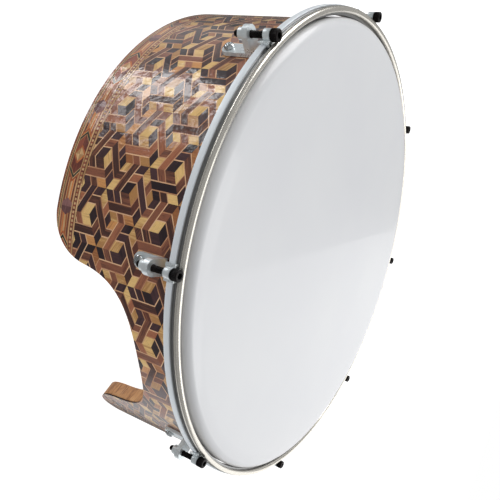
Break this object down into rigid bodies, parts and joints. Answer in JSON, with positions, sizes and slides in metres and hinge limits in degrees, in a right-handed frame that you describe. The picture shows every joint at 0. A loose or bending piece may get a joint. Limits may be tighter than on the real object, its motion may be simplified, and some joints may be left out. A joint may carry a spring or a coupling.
{
  "type": "frame drum",
  "caption": "Deep tunable frame drum with a film head on a veneered wooden hoop shell, a bolted tension hoop and an arched knee cutout in the rear rim.",
  "frame": {"origin": "on the drum's axis in the plane of the rear rim, which the drum stands on", "axes": "+Z along the drum's axis towards the head, -Y through the middle of the knee cutout in the rear rim"},
  "size_m": [0.467, 0.467, 0.1439],
  "materials": {
    "shell_wood": "oiled bent wood, bare on the inside",
    "marquetry": "geometric wood marquetry under clear gloss lacquer",
    "border_inlay": "inlaid border strip under clear gloss lacquer",
    "head_film": "white coated polyester film, satin",
    "satin_aluminium": "satin",
    "polished_steel": "polished",
    "zinc_casting": "plated zinc casting",
    "black_oxide": "black oxide steel",
    "plated_screw": "zinc plated"
  },
  "bodies": {
    "shell": {"shell_core": "shell_wood", "marquetry_veneer": "marquetry", "border_inlay": "border_inlay", "drumhead": "head_film", "bracket_1": "zinc_casting", "bracket_2": "zinc_casting", "bracket_3": "zinc_casting", "bracket_4": "zinc_casting", "bracket_5": "zinc_casting", "bracket_6": "zinc_casting", "bracket_7": "zinc_casting", "bracket_8": "zinc_casting", "bracket_screw_1": "plated_screw", "bracket_screw_2": "plated_screw", "bracket_screw_3": "plated_screw", "bracket_screw_4": "plated_screw", "bracket_screw_5": "plated_screw", "bracket_screw_6": "plated_screw", "bracket_screw_7": "plated_screw", "bracket_screw_8": "plated_screw", "flange_nut_1": "plated_screw", "flange_nut_2": "plated_screw", "flange_nut_3": "plated_screw", "flange_nut_4": "plated_screw", "flange_nut_5": "plated_screw", "flange_nut_6": "plated_screw", "flange_nut_7": "plated_screw", "flange_nut_8": "plated_screw"},
    "tension_hoop": {"flesh_hoop": "satin_aluminium", "counter_hoop": "polished_steel", "hoop_ear_1": "zinc_casting", "hoop_ear_2": "zinc_casting", "hoop_ear_3": "zinc_casting", "hoop_ear_4": "zinc_casting", "hoop_ear_5": "zinc_casting", "hoop_ear_6": "zinc_casting", "hoop_ear_7": "zinc_casting", "hoop_ear_8": "zinc_casting"},
    "bolt_1": {"tension_bolt_1": "black_oxide"},
    "bolt_2": {"tension_bolt_2": "black_oxide"},
    "bolt_3": {"tension_bolt_3": "black_oxide"},
    "bolt_4": {"tension_bolt_4": "black_oxide"},
    "bolt_5": {"tension_bolt_5": "black_oxide"},
    "bolt_6": {"tension_bolt_6": "black_oxide"},
    "bolt_7": {"tension_bolt_7": "black_oxide"},
    "bolt_8": {"tension_bolt_8": "black_oxide"}
  },
  "joints": [
    {"name": "hoop_slide", "type": "slide", "parent": "shell", "child": "tension_hoop", "axis": [0, 0, 1], "range_m": [-0.003, 0.002]},
    {"name": "bolt_1_turn", "type": "hinge", "parent": "tension_hoop", "child": "bolt_1", "pos_m": [0.21924, 0.09081, 0.125], "axis": [0, 0, 1], "range_deg": [-1360, 910]},
    {"name": "bolt_2_turn", "type": "hinge", "parent": "tension_hoop", "child": "bolt_2", "pos_m": [0.09081, 0.21924, 0.125], "axis": [0, 0, 1], "range_deg": [-1360, 910]},
    {"name": "bolt_3_turn", "type": "hinge", "parent": "tension_hoop", "child": "bolt_3", "pos_m": [-0.09081, 0.21924, 0.125], "axis": [0, 0, 1], "range_deg": [-1360, 910]},
    {"name": "bolt_4_turn", "type": "hinge", "parent": "tension_hoop", "child": "bolt_4", "pos_m": [-0.21924, 0.09081, 0.125], "axis": [0, 0, 1], "range_deg": [-1360, 910]},
    {"name": "bolt_5_turn", "type": "hinge", "parent": "tension_hoop", "child": "bolt_5", "pos_m": [-0.21924, -0.09081, 0.125], "axis": [0, 0, 1], "range_deg": [-1360, 910]},
    {"name": "bolt_6_turn", "type": "hinge", "parent": "tension_hoop", "child": "bolt_6", "pos_m": [-0.09081, -0.21924, 0.125], "axis": [0, 0, 1], "range_deg": [-1360, 910]},
    {"name": "bolt_7_turn", "type": "hinge", "parent": "tension_hoop", "child": "bolt_7", "pos_m": [0.09081, -0.21924, 0.125], "axis": [0, 0, 1], "range_deg": [-1360, 910]},
    {"name": "bolt_8_turn", "type": "hinge", "parent": "tension_hoop", "child": "bolt_8", "pos_m": [0.21924, -0.09081, 0.125], "axis": [0, 0, 1], "range_deg": [-1360, 910]}
  ],
  "couplings": [
    {"joint": "bolt_1_turn", "follows": "hoop_slide", "rad_per_m": 7854},
    {"joint": "bolt_2_turn", "follows": "hoop_slide", "rad_per_m": 7854},
    {"joint": "bolt_3_turn", "follows": "hoop_slide", "rad_per_m": 7854},
    {"joint": "bolt_4_turn", "follows": "hoop_slide", "rad_per_m": 7854},
    {"joint": "bolt_5_turn", "follows": "hoop_slide", "rad_per_m": 7854},
    {"joint": "bolt_6_turn", "follows": "hoop_slide", "rad_per_m": 7854},
    {"joint": "bolt_7_turn", "follows": "hoop_slide", "rad_per_m": 7854},
    {"joint": "bolt_8_turn", "follows": "hoop_slide", "rad_per_m": 7854}
  ]
}
